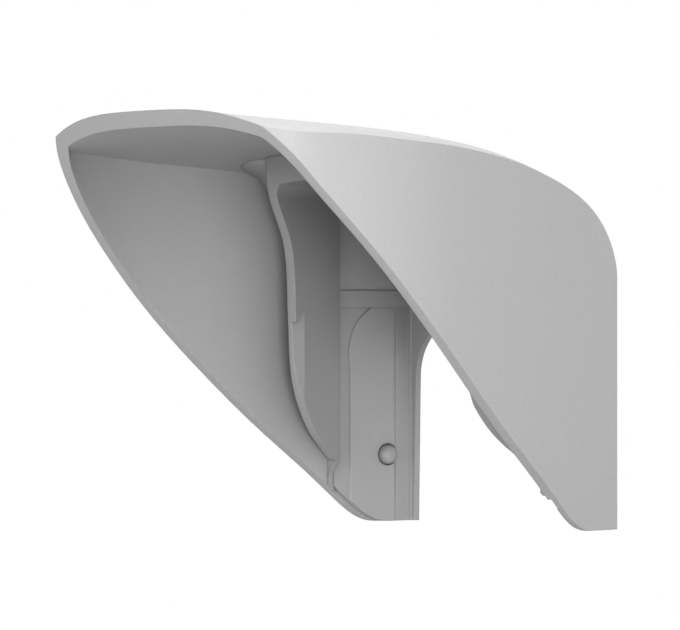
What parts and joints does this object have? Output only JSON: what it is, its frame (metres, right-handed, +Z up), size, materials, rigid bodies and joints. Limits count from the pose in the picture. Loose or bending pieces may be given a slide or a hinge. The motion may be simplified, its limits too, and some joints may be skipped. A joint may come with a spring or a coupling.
{
  "type": "camera weather hood",
  "caption": "Wall-mounted weather hood for a dome camera: moulded canopy with an arched inner collar, a slotted mounting frame and push-on screw caps.",
  "frame": {"origin": "on the wall plane, in the plane of symmetry, level with the hood's lowest edge", "axes": "+Z up, -Y out from the wall towards the camera's view, +X to the right for someone looking at the wall"},
  "size_m": [0.1748, 0.2106, 0.1762],
  "materials": {
    "hood_plastic": "fine satin texture",
    "frame_plastic": "fine satin texture",
    "collar_plastic": "fine satin texture",
    "cap_plastic": "smooth satin",
    "screw_steel": "zinc plated"
  },
  "bodies": {
    "hood": {"hood_shell": "hood_plastic", "mounting_frame": "frame_plastic", "inner_collar": "collar_plastic", "frame_screws": "screw_steel", "collar_screws": "screw_steel"},
    "cap_left": {"screw_cap_left": "cap_plastic"},
    "cap_right": {"screw_cap_right": "cap_plastic"}
  },
  "joints": [
    {"name": "cap_left_pull", "type": "slide", "parent": "hood", "child": "cap_left", "axis": [1, 0, 0], "range_m": [0, 0.005]},
    {"name": "cap_right_pull", "type": "slide", "parent": "hood", "child": "cap_right", "axis": [-1, 0, 0], "range_m": [0, 0.005]}
  ]
}
